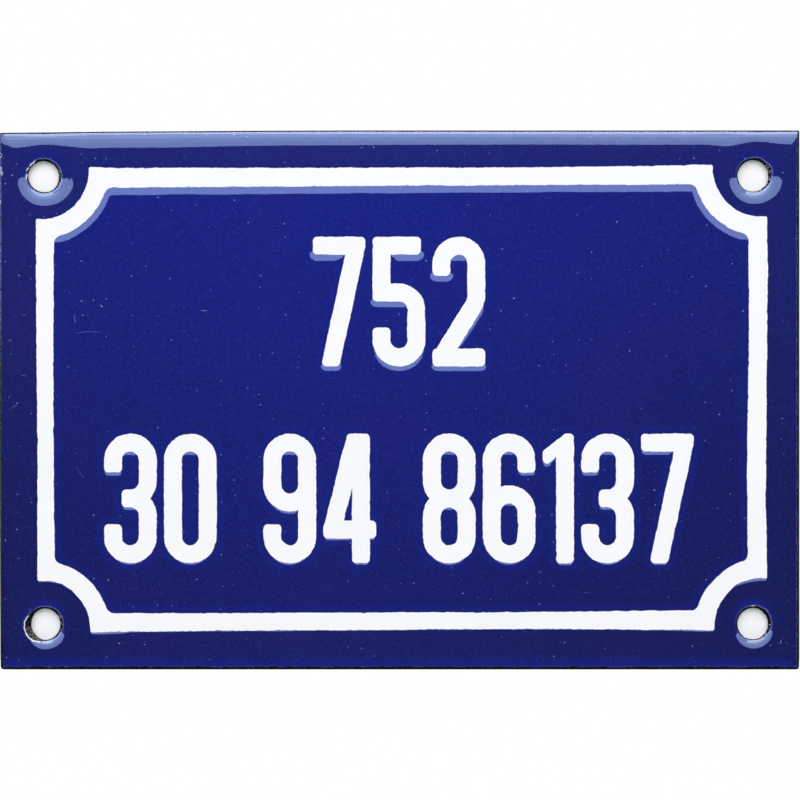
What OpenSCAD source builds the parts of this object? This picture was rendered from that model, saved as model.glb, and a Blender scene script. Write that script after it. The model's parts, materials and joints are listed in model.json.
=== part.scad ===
// Enamel wall sign: one pressed steel plate with a rolled edge and four dished screw holes,
// glazed blue, with a white border line and two rows of white figures lying a little lower.
// X runs along the width, Z is up, the wall is the plane y = 0 and the face looks along -Y.
// The origin is the middle of the four screw holes, on the wall.

/* [Plate] */
// Width of the plate
plate_w = 150; // [138:1:200]
// Height of the plate
plate_h = 101; // [90:1:160]
// Thickness of the sheet with its enamel
sheet_t = 1.2; // [0.9:0.1:1.6]
// Radius of the plate's corners
corner_r = 1.0; // [0.4:0.1:2.5]
// Width of the edge that rolls back to the wall
roll_w = 3.1; // [2.2:0.1:3.2]
// How far the edge and the screw holes are pressed back
press_depth = 0.9; // [0.6:0.1:1.2]

/* [Screw holes] */
// Radius of a screw hole
hole_r = 3.0; // [2:0.1:3.4]
// Width of the dished ring round a hole
dish_w = 2.2; // [1.8:0.1:2.6]
// Flat strip between the dished ring and the rolled edge
dish_gap = 0.2; // [0.1:0.1:1]

/* [Border line] */
// Width of the white line
line_w = 3.6; // [2:0.1:4.2]
// Distance of the line from the plate's left and right edges
line_inset_x = 6.4; // [5:0.1:7]
// Distance of the line from the plate's top and bottom edges
line_inset_z = 7.0; // [5:0.1:7.4]
// How far the stencil of the line was laid to the right
line_shift_x = 0.5; // [-0.8:0.1:0.8]
// How far the stencil of the line was laid upwards
line_shift_z = 0.25; // [-0.8:0.05:0.8]
// How far the stencil of the line was laid askew, in degrees
line_turn = 0.2; // [-0.4:0.1:0.4]
// Blue ring between the dish of a hole and the notch that goes round it
notch_land = 3.9; // [3:0.1:4.5]
// How far a notch's centre lies outside the middle of its hole, both ways
notch_offset = 0.9; // [0:0.1:1.2]
// Rounding of the blue field's corners inside the line
field_corner_r = 1.5; // [0.2:0.1:3]
// Rounding of the line's eight outer points
point_r = 0.3; // [0.1:0.1:0.8]

/* [Figures] */
// Height of a figure
figure_h = 24.2; // [20:0.1:26]
// Width of a figure
figure_w = 9.8; // [8.6:0.1:10.2]
// Width of the narrow figure one
narrow_w = 5.8; // [5:0.1:7]
// Width of a brush stroke
stroke_w = 3.3; // [2.6:0.1:3.6]
// Gap between figures
figure_gap = 1.4; // [1:0.1:1.8]
// Gap between groups of figures
group_gap = 8.8; // [5:0.1:10]
// Height of each row's middle above or below the plate's middle
row_z = 18.4; // [15:0.1:20]
// Rounding of the ends of the strokes
end_r = 0.8; // [0.2:0.1:1.2]

/* [Enamel] */
// How far the white enamel lies below the blue
glaze_step = 0.15; // [0.05:0.01:0.25]
// Thickness of the white enamel
white_t = 0.15; // [0.1:0.01:0.25]

/* [Hidden] */

// Groups of figures in each row
UPPER_ROW = [[7, 5, 2]];
LOWER_ROW = [[3, 0], [9, 4], [8, 6, 1, 3, 7]];

depth = sheet_t + press_depth;
face_y = -depth;
white_y = face_y + glaze_step;
bed_y = white_y + white_t;
// Cutters run this far past the surface they cut
over = 1;
// Radius of the arc that leaves a flat sheet and drops press_depth over a given width
function press_radius(width) = (width * width + press_depth * press_depth) / (2 * press_depth);
roll_r = press_radius(roll_w);
dish_arc_r = press_radius(dish_w);
dish_r = hole_r + dish_w;
hole_inset = roll_w + dish_gap + dish_r;
notch_r = dish_r + notch_land;
// Points of a full circle: large ones, and the small ones that round corners
round_steps = 96;
corner_steps = 32;
// Steps along one bend of a stroke
bend_steps = 8;
// Points nearer to each other than this are one
same_point = 0.001;

// A flat shape drawn in x and z, made solid from front_y back to back_y
module slab(front_y, back_y) {
    translate([0, back_y, 0]) rotate([90, 0, 0]) linear_extrude(back_y - front_y) children();
}

// Section of a pressed sheet across a given span, drawn in that direction and y.
// inward is 0 for the front of the sheet and sheet_t for its back.
module pressed_section(span, inward, back_y) {
    flat = span / 2 - roll_w;
    front_y = face_y + inward;
    translate([-flat, front_y]) square([2 * flat, back_y - front_y]);
    for (side = [-1, 1]) {
        intersection() {
            translate([side * flat, face_y + roll_r]) circle(r = roll_r - inward, $fn = round_steps);
            translate([side > 0 ? flat : -flat - roll_w - over, front_y])
                square([roll_w + over, back_y - front_y]);
        }
    }
}

// Everything behind one surface of the pressed sheet: its two sections crossed
module pressed_body(inward, back_y) {
    intersection() {
        linear_extrude(plate_h + over, center = true) pressed_section(plate_w, inward, back_y);
        rotate([0, -90, 0]) linear_extrude(plate_w + over, center = true)
            pressed_section(plate_h, inward, back_y);
    }
}

// Outline of the plate
module plate_outline() {
    square([plate_w - 2 * corner_r, plate_h], center = true);
    square([plate_w, plate_h - 2 * corner_r], center = true);
    for (x = [-1, 1], z = [-1, 1]) {
        translate([x * (plate_w / 2 - corner_r), z * (plate_h / 2 - corner_r)])
            circle(r = corner_r, $fn = round_steps);
    }
}

// Repeats what it is given at the four screw holes, with its own z axis towards the wall
module at_holes() {
    for (x = [-1, 1], z = [-1, 1]) {
        translate([x * (plate_w / 2 - hole_inset), 0, z * (plate_h / 2 - hole_inset)])
            rotate([-90, 0, 0]) children();
    }
}

// Space in front of a dished screw hole
module dish_cutter() {
    rotate_extrude($fn = round_steps) difference() {
        translate([0, face_y - over]) square([dish_r, over + press_depth]);
        translate([dish_r, face_y + dish_arc_r]) circle(r = dish_arc_r, $fn = round_steps);
    }
}

// Boss on the back of a dished screw hole, which meets the wall
module dish_boss() {
    rotate_extrude($fn = round_steps) {
        translate([0, face_y + sheet_t / 2]) square([dish_r, sheet_t / 2]);
        intersection() {
            translate([0, -press_depth]) square([dish_r, press_depth]);
            difference() {
                square([2 * dish_r, 2 * press_depth], center = true);
                translate([dish_r, face_y + dish_arc_r])
                    circle(r = dish_arc_r - sheet_t, $fn = round_steps);
            }
        }
    }
}

// The border line's outer shape, or the field inside it: a rectangle with notched corners
module notched_field(inset, corner) {
    w = plate_w - 2 * (line_inset_x + inset);
    h = plate_h - 2 * (line_inset_z + inset);
    from_edge = hole_inset - notch_offset;
    offset(r = corner, $fn = corner_steps) offset(delta = -corner) difference() {
        square([w, h], center = true);
        for (x = [-1, 1], z = [-1, 1]) {
            translate([x * (plate_w / 2 - from_edge), z * (plate_h / 2 - from_edge)])
                circle(r = notch_r + inset, $fn = round_steps);
        }
    }
}

// The white border line
module border_shape() {
    translate([line_shift_x, line_shift_z]) rotate(line_turn) difference() {
        notched_field(0, point_r);
        notched_field(line_w, field_corner_r);
    }
}

// Direction from a to b
function heading(a, b) = (b - a) / norm(b - a);
// A vector turned to its left
function left_of(v) = [-v[1], v[0]];
// A vector turned by an angle
function turned(v, angle) = v * cos(angle) + left_of(v) * sin(angle);

// Points of the bend of radius r that rounds the corner b between a and c
function bend(a, b, c, r) =
    let (
        to_a = heading(b, a),
        to_c = heading(b, c),
        half = acos(to_a * to_c) / 2,
        centre = b + (to_a + to_c) / norm(to_a + to_c) * r / sin(half),
        spoke = b + to_a * r / tan(half) - centre,
        sweep = -sign(cross(to_a, to_c)) * (180 - 2 * half)
    )
    [for (i = [0 : bend_steps]) centre + turned(spoke, sweep * i / bend_steps)];

// Corner points [x, z] or [x, z, bend radius] turned into the points of a brush's course
function point(p) = [p[0], p[1]];
function course(corners) =
    let (last = len(corners) - 1)
    [
        for (i = [0 : last])
            let (rounded = i > 0 && i < last && len(corners[i]) == 3)
            each rounded
                ? bend(point(corners[i - 1]), point(corners[i]), point(corners[i + 1]), corners[i][2])
                : [point(corners[i])]
    ];
// The same points with each one that repeats the last left out
function distinct(p) = [for (i = [0 : len(p) - 1]) if (i == 0 || norm(p[i] - p[max(i - 1, 0)]) > same_point) p[i]];

// The edge of a stroke, to the left of its course at a distance d
function stroke_edge(p, d) =
    let (last = len(p) - 1)
    [
        for (i = [0 : last])
            let (
                before = heading(p[max(i - 1, 0)], p[max(i, 1)]),
                after = heading(p[min(i, last - 1)], p[min(i + 1, last)]),
                across = left_of(before + after)
            )
            p[i] + across * 2 * d / (across * across)
    ];

// One brush stroke with square ends
module stroke(corners) {
    p = distinct(course(corners));
    right = stroke_edge(p, -stroke_w / 2);
    polygon(concat(stroke_edge(p, stroke_w / 2), [for (i = [len(p) - 1 : -1 : 0]) right[i]]));
}

// A closed stroke of figure width with round ends, between two heights
module ring(low, high) {
    module stadium(inset) {
        r = figure_w / 2 - inset;
        translate([figure_w / 2, 0]) {
            translate([-r, low + inset + r]) square([2 * r, high - low - 2 * (inset + r)]);
            for (z = [low + inset + r, high - inset - r]) translate([0, z]) circle(r = r, $fn = corner_steps);
        }
    }
    difference() {
        stadium(0);
        stadium(stroke_w);
    }
}

// One figure from 0 to 9, its lower left corner at the origin
module figure(n) {
    h = figure_h;
    w = figure_w;
    half_w = stroke_w / 2;
    left = half_w;
    right = w - half_w;
    base = half_w;
    top = h - half_w;
    middle = h / 2;
    bowl_r = (w - stroke_w) / 2;
    // How far an open end reaches from the top or the base
    hook = 0.30 * h;
    // Crossbar of the four, shoulder of the five, bowl of the six
    bar = 0.26 * h;
    shoulder = 0.57 * h;
    bowl_top = 0.60 * h;
    if (n == 0) {
        ring(0, h);
    } else if (n == 1) {
        polygon([
            [narrow_w, 0], [narrow_w, h], [narrow_w - half_w, h], [0, h - stroke_w],
            [0, h - 2 * stroke_w], [narrow_w - stroke_w, h - 1.3 * stroke_w], [narrow_w - stroke_w, 0]
        ]);
    } else if (n == 2) {
        stroke([
            [left, h - hook], [left, top, bowl_r], [right, top, bowl_r],
            [right, middle, 1.4 * bowl_r], [left, base]
        ]);
        square([w, stroke_w]);
    } else if (n == 3) {
        stroke([
            [left, h - hook], [left, top, bowl_r], [right, top, bowl_r],
            [right, middle, bowl_r], [left + half_w, middle]
        ]);
        stroke([
            [left + half_w, middle], [right, middle, bowl_r], [right, base, bowl_r],
            [left, base, bowl_r], [left, hook]
        ]);
    } else if (n == 4) {
        stem = right - 0.7 * half_w;
        stroke([[stem - half_w / 2, h], [left, bar], [w, bar]]);
        stroke([[stem, 0], [stem, h]]);
    } else if (n == 5) {
        stroke([
            [w - half_w / 2, top], [left, top], [left, shoulder], [right, shoulder, bowl_r],
            [right, base, bowl_r], [left, base, bowl_r], [left, hook]
        ]);
    } else if (n == 6) {
        ring(0, bowl_top);
        stroke([[right, h - hook], [right, top, bowl_r], [left, top, bowl_r], [left, bowl_r + half_w]]);
    } else if (n == 7) {
        stroke([[0, top], [right, top], [w / 2 - half_w, 0], [w / 2 - stroke_w, -h / 4]]);
    } else if (n == 8) {
        ring(0, middle + half_w);
        ring(middle - half_w, h);
    } else if (n == 9) {
        translate([w, h]) rotate(180) figure(6);
    }
}

// A figure trimmed to its own box, with the ends of its strokes rounded
module painted_figure(n) {
    offset(r = end_r, $fn = corner_steps) offset(delta = -end_r) intersection() {
        figure(n);
        square([width_of(n), figure_h]);
    }
}

// Widths of figures, groups and rows
function width_of(n) = n == 1 ? narrow_w : figure_w;
function sum(list, i = 0) = i < len(list) ? list[i] + sum(list, i + 1) : 0;
function group_w(group) = sum([for (n = group) width_of(n) + figure_gap]) - figure_gap;
function row_w(row) = sum([for (group = row) group_w(group) + group_gap]) - group_gap;
// The first few entries of a list
function first(list, count) = [for (i = [0 : 1 : count - 1]) list[i]];

// One row of figures, centred on the plate's width
module row(groups, z) {
    for (g = [0 : len(groups) - 1]) {
        group = groups[g];
        group_x = g == 0 ? 0 : row_w(first(groups, g)) + group_gap;
        for (i = [0 : len(group) - 1]) {
            figure_x = i == 0 ? 0 : group_w(first(group, i)) + figure_gap;
            translate([group_x + figure_x - row_w(groups) / 2, z - figure_h / 2]) painted_figure(group[i]);
        }
    }
}

module figures_shape() {
    row(UPPER_ROW, row_z);
    row(LOWER_ROW, -row_z);
}

// The pressed sheet with its blue face and dark back
module blue_plate() {
    color("#1c2270") difference() {
        intersection() {
            pressed_body(0, 0);
            slab(face_y - over, over) plate_outline();
        }
        difference() {
            pressed_body(sheet_t, over);
            at_holes() dish_boss();
        }
        at_holes() dish_cutter();
        at_holes() translate([0, 0, face_y - over]) cylinder(h = depth + 2 * over, r = hole_r, $fn = round_steps);
        slab(face_y - over, bed_y) border_shape();
        slab(face_y - over, bed_y) figures_shape();
    }
}

// The white line inside the edge
module white_border() {
    color("#f8fafc") slab(white_y, bed_y) border_shape();
}

// The two rows of white figures
module white_numerals() {
    color("#f8fafc") slab(white_y, bed_y) figures_shape();
}

blue_plate();
white_border();
white_numerals();
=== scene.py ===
import json
import math
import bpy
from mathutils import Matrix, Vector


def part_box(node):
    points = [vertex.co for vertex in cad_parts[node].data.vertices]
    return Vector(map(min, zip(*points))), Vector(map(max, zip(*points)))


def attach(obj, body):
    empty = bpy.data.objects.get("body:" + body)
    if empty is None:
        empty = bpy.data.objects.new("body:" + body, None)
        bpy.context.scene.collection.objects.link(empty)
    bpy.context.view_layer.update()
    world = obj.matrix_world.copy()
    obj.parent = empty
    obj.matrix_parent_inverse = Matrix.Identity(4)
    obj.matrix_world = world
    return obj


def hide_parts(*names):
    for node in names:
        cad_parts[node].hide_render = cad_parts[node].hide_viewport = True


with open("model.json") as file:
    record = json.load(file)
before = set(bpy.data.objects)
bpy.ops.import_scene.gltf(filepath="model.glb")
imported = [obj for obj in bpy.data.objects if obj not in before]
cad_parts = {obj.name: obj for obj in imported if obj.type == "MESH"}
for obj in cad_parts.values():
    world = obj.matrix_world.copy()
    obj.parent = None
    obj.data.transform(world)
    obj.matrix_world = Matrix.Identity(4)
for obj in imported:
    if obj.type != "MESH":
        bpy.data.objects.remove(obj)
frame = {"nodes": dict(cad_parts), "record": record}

from types import SimpleNamespace

import bpy
import numpy as np
from bpy.props import FloatProperty, FloatVectorProperty, IntProperty, PointerProperty
from bpy.types import Operator, Panel, PropertyGroup
from mathutils import Vector
from mathutils.geometry import delaunay_2d_cdt

bl_info = {
    "name": "Enamel Wall Sign",
    "version": (1, 0, 0),
    "blender": (4, 5, 0),
    "location": "View3D > Sidebar > Enamel Sign",
    "description": "Builds a small blue and white vitreous enamel wall sign and its studio",
    "category": "Add Mesh",
}

# The shapes are worked out in millimetres, in x to the right and z up, and made in metres.
MM = 0.001

PLATE_LOW, PLATE_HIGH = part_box("blue_plate")
LINE_LOW, LINE_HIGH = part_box("white_border")
SCREWS = next(mount for mount in frame["record"]["mounts"] if mount["kind"] == "bolt_pattern")["dims"]


# ---- Sizes and colours that a user would change


def length(name, default, description):
    """A size in metres."""
    return FloatProperty(
        name=name, description=description, default=default, min=0.0, precision=5, unit="LENGTH"
    )


def paint(name, default, description):
    """A colour, as linear red, green and blue."""
    return FloatVectorProperty(
        name=name, description=description, default=default, size=3, min=0.0, max=1.0, subtype="COLOR"
    )


def brightness(name, default, description):
    """How bright a lamp is."""
    return FloatProperty(name=name, description=description, default=default, min=0.0)


class SignSizes(PropertyGroup):
    """Sizes of the pressed plate and its enamel."""

    width: length("Width", PLATE_HIGH.x - PLATE_LOW.x, "Width of the plate")
    height: length("Height", PLATE_HIGH.z - PLATE_LOW.z, "Height of the plate")
    depth: length("Depth", PLATE_HIGH.y - PLATE_LOW.y, "From the wall to the flat face")
    sheet: length("Sheet", 0.0012, "Thickness of the sheet with its enamel")
    corner: length("Corner radius", 0.0005, "Radius of the plate's lower corners")
    roll: length("Rolled edge", 0.0031, "Width of the edge that rolls back to the wall")
    arris: length("Arris radius", 0.0004, "Rounding of the enamel over the cut edge")
    bead: length("Bead radius", 0.0008, "Rounding of the thicker enamel along the bottom edge")
    hole: length("Hole radius", SCREWS["hole_r_mm"] * MM, "Radius of a screw hole")
    hole_x: length("Hole spacing across", SCREWS["spacing_x_mm"] * MM, "Between holes, across")
    hole_z: length("Hole spacing up", SCREWS["spacing_y_mm"] * MM, "Between holes, up the height")
    dish: length("Dished ring", 0.0022, "Width of the dished ring round a hole at the back")
    glaze_step: length("Glaze step", LINE_LOW.y - PLATE_LOW.y, "How far the white lies below the blue")
    glaze_flow: length("Glaze flow", 0.0016, "How far from the white the blue starts to sink")
    white: length("White thickness", LINE_HIGH.y - LINE_LOW.y, "Thickness of the white enamel")
    chip_depth: length("Chip depth", 0.00014, "How deep the enamel is chipped off")
    stencil_step: length("Stencil step", 0.00024, "Distance between points of the white outlines")
    stencil_grain: length("Stencil grain", 0.00005, "Fine raggedness of the white outlines")
    stencil_wave: length("Stencil wave", 0.000035, "Slow unevenness of the white outlines")
    seed: IntProperty(name="Seed", description="Chooses another set of small flaws", default=7, min=0)


class SignColours(PropertyGroup):
    """Colours of the enamel and of what lies under it."""

    blue: paint("Blue", (0.0078, 0.0140, 0.232), "Blue enamel of the field")
    # Darker blue low down and far out to the sides: partly thicker coat, partly painted shade of light
    # falling from the upper left
    thick: paint("Thick blue", (0.0054, 0.0086, 0.090), "Darker blue of thicker enamel")
    # Brighter blue: the thinner glaze in a band beside the white, and painted light from below where the
    # surface faces down
    thin: paint("Thin blue", (0.0076, 0.0155, 0.245), "Brighter blue of thinner enamel")
    margin: paint("Margin blue", (0.0106, 0.0162, 0.168), "Duller blue outside the white line")
    violet: paint("Violet blue", (0.0200, 0.0115, 0.165), "Patches where the blue fired redder")
    rim: paint("Rim", (0.0055, 0.0040, 0.055), "Thin dark blue beside the white")
    veil: paint("Veil", (0.170, 0.190, 0.520), "Blue so thin at its edge that white shows through")
    # Also the colour of the painted highlight on the glass lip round the holes
    speck: paint("Speck", (0.240, 0.275, 0.640), "Tiny light specks in the blue")
    white: paint("White", (0.878, 0.884, 0.896), "White enamel")
    ground: paint("Ground coat", (0.0040, 0.0045, 0.0060), "Dark coat under the colours")
    steel: paint("Steel", (0.150, 0.130, 0.100), "Rough steel and rust where the glass has gone")
    wear: paint("Worn edge", (0.060, 0.092, 0.094), "Grey-green of the worn plate edge")
    # Also the colour of the painted glints on the bright breaks round the holes, over the whitish fracture
    glass: paint("Broken glass", (0.720, 0.740, 0.860), "Pale fracture of the enamel")
    # Also the colour of the whitish painted highlight beside each ring's lower right
    bruise: paint("Bruise", (0.420, 0.500, 0.900), "Crushed glass of scratches and marks")
    back: paint("Back", (0.0150, 0.0170, 0.0220), "Dark coat fired on the back")


class SignStudio(PropertyGroup):
    """Camera, lamps and room."""

    view: length("View width", 0.15005, "Width that the camera sees at the wall")
    distance: length("Camera distance", 0.6, "Distance of the camera from the wall")
    aside: length("Camera offset", 0.0002, "How far right of the middle the camera stands")
    lamp_edge: length("Sky height", 0.096, "Height of the sky's lower edge above the sign's middle")
    lamp_distance: length("Sky distance", 0.5, "Distance of the front sky lamps from the wall")
    sky: brightness("Sky brightness", 5.6, "Brightness that the glass mirrors")
    fill: brightness("Fill brightness", 3.84, "Brightness of the soft front lamp")
    back: brightness("Back brightness", 2.4, "Brightness of the lamp behind")
    floor: length("Floor depth", 0.5, "How far the floor lies below the sign's middle")


def in_mm(group):
    """The lengths of a property group in millimetres, its other values unchanged."""
    values = {}
    for name, prop in group.bl_rna.properties.items():
        if prop.type in ("FLOAT", "INT"):
            value = getattr(group, name)
            values[name] = value / MM if prop.unit == "LENGTH" else value
    return SimpleNamespace(**values)


# ---- Flaws round the screw holes and on the face, and the highlights and glints painted there. Lengths are in mm, angles in degrees
# ---- anticlockwise from the right, and stretches run from one angle to another.

# The upper corners' radius as a share of the lower ones', and the steps round each corner
UPPER_CORNER = 0.4
CORNER_STEPS = 8
# How far right and up the punched ring and its dish sit off the middle of the hole in the back
OFF_CENTRE = {
    "upper_left": (0.07, -0.20),
    "upper_right": (-0.10, 0.0),
    "lower_left": (0.30, 0.05),
    "lower_right": (-0.20, 0.18),
}
# Radius of the dish pressed round each hole, to its right, top, left and bottom
DISHES = {
    "upper_left": (6.20, 5.30, 5.24, 5.62),
    "upper_right": (5.75, 5.20, 5.00, 5.42),
    "lower_left": (5.37, 5.30, 3.85, 5.17),
    "lower_right": (4.75, 5.20, 4.55, 5.14),
}
# Width of the ring of bare ground coat round each hole, by angle
BARE_RINGS = {
    "upper_left": (
        (0, 0.32), (45, 0.34), (90, 0.36), (135, 0.42), (180, 0.34), (225, 0.24), (270, 0.22), (315, 0.26),
    ),
    "upper_right": (
        (0, 0.42), (18, 0.50), (50, 0.40), (90, 0.38), (135, 0.34), (200, 0.28), (270, 0.22), (320, 0.28),
    ),
    "lower_left": (
        (0, 0.36), (50, 0.34), (110, 0.34), (146, 0.45), (172, 0.86), (200, 0.98), (232, 0.90),
        (250, 0.52), (262, 0.22), (300, 0.20), (335, 0.30),
    ),
    "lower_right": (
        (0, 0.36), (45, 0.44), (90, 0.38), (140, 0.30), (200, 0.26), (270, 0.20), (310, 0.26), (335, 0.36),
    ),
}
# How far the coat stands into a hole at the front, by angle
UPPER_COAT = ((0, 0.24), (45, 0.20), (90, 0.10), (135, 0.03), (180, 0.0), (240, -0.04), (315, 0.12))
COAT_IN_HOLE = {
    "upper_left": UPPER_COAT,
    "upper_right": UPPER_COAT,
    "lower_left": (
        (0, 0.26), (45, 0.20), (90, 0.12), (135, 0.20), (180, 0.42), (225, 0.26), (270, 0.02), (315, 0.12),
    ),
    "lower_right": ((0, 0.20), (45, 0.18), (90, 0.10), (135, 0.03), (180, 0.0), (240, -0.04), (315, 0.10)),
}
# Stretches of a ring where the broken edge of the glass is painted bright: painted glints over its whitish
# fracture
BRIGHT_BREAKS = {
    "upper_left": ((118, 143), (149, 163), (170, 190)),
    "upper_right": (),
    "lower_left": ((152, 251),),
    "lower_right": ((84, 97),),
}
# Stretch where whitish grains lie in the ring: partly real grains, partly painted glints
GRIT_AND_GLINTS = {
    "upper_left": (-75, 60),
    "upper_right": (-75, 40),
    "lower_left": (-75, 30),
    "lower_right": (-75, 30),
}
# Stretches where the steel shows, grey and a little rusted
STEEL_SHOWS = {"lower_left": ((188, 256),)}
# Stretch beside the ring painted whitish and grainy, a painted highlight where the dish mirrors the sky,
# with how far it reaches
RING_SHEEN = {
    "upper_left": (-70, -5, 0.42),
    "upper_right": (-62, -8, 0.34),
    "lower_left": (-125, -12, 0.50),
    "lower_right": (-60, -22, 0.24),
}
# How far up the top edge starts to roll, by x: it bows up round the holes
TOP_BOW = (
    (-71.2, -0.30), (-69.3, 0.04), (-66.5, 0.39), (-65.2, 0.38), (-62.4, 0.06), (-58.1, -0.39),
    (-54.3, -0.30), (-41.2, -0.24), (-33.7, -0.04), (-18.7, 0.19), (0.0, 0.28), (22.6, 0.38),
    (45.1, 0.36), (56.4, 0.32), (59.2, 0.24), (61.4, -0.10), (62.9, 0.30), (64.8, 0.75), (67.0, 0.94),
    (68.9, 0.84), (70.4, 0.53), (72.7, 0.34),
)
# Bare rim of the cut edge, its mean width on each side
BARE_RIM = {"left": 0.55, "right": 0.42, "top": 0.24, "bottom": 0.56}
# How far the top edge of the plate falls short of its full height, by x
TOP_SAG = ((-75.0, 0.45), (-66.0, 0.37), (-54.0, 0.22), (-45.0, 0.18), (-28.0, 0.07), (-10.0, 0.0))
# How far the left edge of the plate leans in, by z
LEFT_LEAN = ((-50.5, 0.34), (-20.0, 0.22), (38.0, 0.0))
# How far the white line bends off the straight one, to the right on the sides and up at the top and
# bottom: the place along the side, its outer edge and its inner edge
LINE_BENDS = {
    "left": (
        (-33, 0.44, 0.10), (-26, 0.45, 0.01), (-21, 0.45, -0.09), (-15, 0.53, -0.09), (-4, 0.50, -0.13),
        (2, 0.45, -0.11), (13, 0.39, -0.09), (24, 0.35, 0.01), (33, 0.36, 0.10),
    ),
    "right": (
        (-33, -0.42, -0.27), (-26, -0.43, -0.43), (-21, -0.61, -0.37), (-15, -0.57, -0.45),
        (-4, -0.41, -0.32), (2, -0.40, -0.20), (13, -0.25, 0.01), (24, -0.07, -0.03), (33, -0.18, -0.01),
    ),
    "top": (
        (-57, -0.20, -0.25), (-38, -0.22, -0.19), (-21, -0.28, -0.14), (0, -0.28, -0.05),
        (13, -0.36, -0.05), (30, -0.31, 0.01), (47, -0.18, -0.03), (55, 0.00, 0.05),
    ),
    "bottom": (
        (-54, 0.09, -0.03), (-38, 0.24, -0.10), (-21, 0.27, -0.08), (0, 0.33, -0.08), (13, 0.42, -0.13),
        (30, 0.38, -0.07), (47, 0.18, 0.09), (55, 0.12, 0.09),
    ),
}
# Places, as x and z, where the blue sinks a little deeper beside the white
DEEPER = ((-54.5, -43.6), (54.5, -43.6), (65.8, -33.5))
# Chips, scratches and bruises of the glass: from x, z to x, z, half width, and strength
MARKS = (
    (-74.66, 46.2, -74.40, 46.1, 0.11, 1.3), (-74.36, 46.1, -74.24, 45.8, 0.11, 1.3),
    (-74.24, 45.7, -74.36, 45.5, 0.11, 1.3), (-74.40, 45.4, -74.66, 45.3, 0.11, 1.3),
    (-74.50, 43.7, -74.44, 42.0, 0.26, 1.2), (-74.24, 42.8, -74.16, 42.1, 0.18, 0.9),
    (-74.55, 37.4, -74.55, 36.8, 0.20, 1.2), (-74.0, 45.2, -73.9, 45.2, 0.09, 0.7),
    (-72.4, 42.0, -72.2, 42.0, 0.11, 1.2), (-73.9, 38.7, -73.8, 38.7, 0.09, 0.6),
    (-70.2, 37.2, -70.0, 37.2, 0.10, 0.8), (-73.0, 11.2, -72.6, 10.9, 0.06, 0.6),
    (-72.6, 11.0, -72.4, 11.3, 0.06, 0.5), (-72.5, 8.5, -72.5, 8.7, 0.08, 0.4),
    (-70.3, 15.9, -69.7, 15.9, 0.05, 0.5), (-70.5, 4.6, -69.7, 4.5, 0.05, 0.5),
    (-73.0, 0.3, -72.9, 0.7, 0.08, 0.3), (-72.8, -1.8, -71.4, -0.9, 0.06, 0.3),
    (71.4, -44.9, 71.4, -45.5, 0.10, 0.6), (71.0, -45.4, 71.0, -45.6, 0.08, 0.35),
    (72.4, -45.3, 72.5, -45.4, 0.10, 0.35), (-37.0, 16.7, -35.8, 16.7, 0.07, 0.5),
    (-60.7, 15.8, -60.5, 14.5, 0.08, 0.45), (-60.3, 12.5, -58.3, 12.8, 0.05, 0.32),
    (-58.3, 12.8, -56.0, 12.7, 0.05, 0.32), (-55.9, 17.8, -55.4, 17.4, 0.09, 0.8),
    (-60.2, -12.8, -58.9, -14.6, 0.06, 0.2), (34.0, -36.1, 35.6, -35.9, 0.06, 0.22),
    (12.6, 36.4, 13.0, 36.5, 0.10, 0.3),
)


# ---- Outlines, as closed rows of x, z points


def chains(follows):
    """The closed chains in a dictionary that says what follows each item. It is emptied."""
    while follows:
        start, here = follows.popitem()
        chain = [start]
        while here != start:
            chain.append(here)
            here = follows.pop(here)
        yield chain


def front_outlines(name):
    """The outlines of a white node's front, with the white on their left."""
    mesh = frame["nodes"][name].data
    places = np.empty(len(mesh.vertices) * 3)
    mesh.vertices.foreach_get("co", places)
    places = places.reshape(-1, 3) / MM
    front = places[:, 1].min()
    merged, index = np.unique(np.round(places, 4), axis=0, return_inverse=True)
    index = index.reshape(-1)
    directed = set()
    for face in mesh.polygons:
        corners = list(face.vertices)
        if face.normal.y < -0.99 and max(places[corners, 1]) < front + 0.01:
            for a, b in zip(corners, corners[1:] + corners[:1]):
                directed.add((index[a], index[b]))
    follows = {a: b for a, b in directed if (b, a) not in directed}
    outlines = [merged[chain][:, [0, 2]] for chain in chains(follows)]
    return sorted(outlines, key=lambda row: (round(row[:, 0].min(), 3), round(row[:, 1].min(), 3)))


def walked(row):
    """A row's corners with the first one again at the end, and how far along the row each lies."""
    closed = np.vstack([row, row[:1]])
    return closed, np.concatenate([[0.0], np.cumsum(np.hypot(*np.diff(closed, axis=0).T))])


def at_lengths(closed, along, at):
    """The points of a row at lengths along it."""
    return np.column_stack([np.interp(at, along, closed[:, 0]), np.interp(at, along, closed[:, 1])])


def evenly(row, step):
    """A row resampled at even steps."""
    closed, along = walked(row)
    count = max(8, int(round(along[-1] / step)))
    return at_lengths(closed, along, np.linspace(0.0, along[-1], count, endpoint=False))


def bent(row, edge):
    """The white line's outer (1) or inner (2) outline with the bends of its four sides."""
    closed, along = walked(row)
    row = at_lengths(closed, along, np.unique(np.concatenate([along[:-1], np.arange(0.0, along[-1], 0.5)])))
    moved = row.copy()
    # Each pair of sides: their axis and names, how far out they lie, and where their notches begin
    for axis, low, high, across, ends in ((0, "left", "right", 60, 38), (1, "bottom", "top", 35, 57.5)):
        place_on, offset = row[:, 1 - axis], row[:, axis]
        share = np.clip((np.abs(offset) - across) / 4, 0, 1) * np.clip((ends - np.abs(place_on)) / 3, 0, 1)
        for side, here in ((low, offset < 0), (high, offset > 0)):
            table = np.array(LINE_BENDS[side])
            moved[:, axis] += here * share * np.interp(place_on, table[:, 0], table[:, edge])
    return moved


def outward(row):
    """Unit vectors to the right of a row's direction, which lead away from the white."""
    ahead = np.roll(row, -1, axis=0) - np.roll(row, 1, axis=0)
    ahead /= np.maximum(np.hypot(*ahead.T), 1e-9)[:, None]
    return np.column_stack([ahead[:, 1], -ahead[:, 0]])


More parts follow.
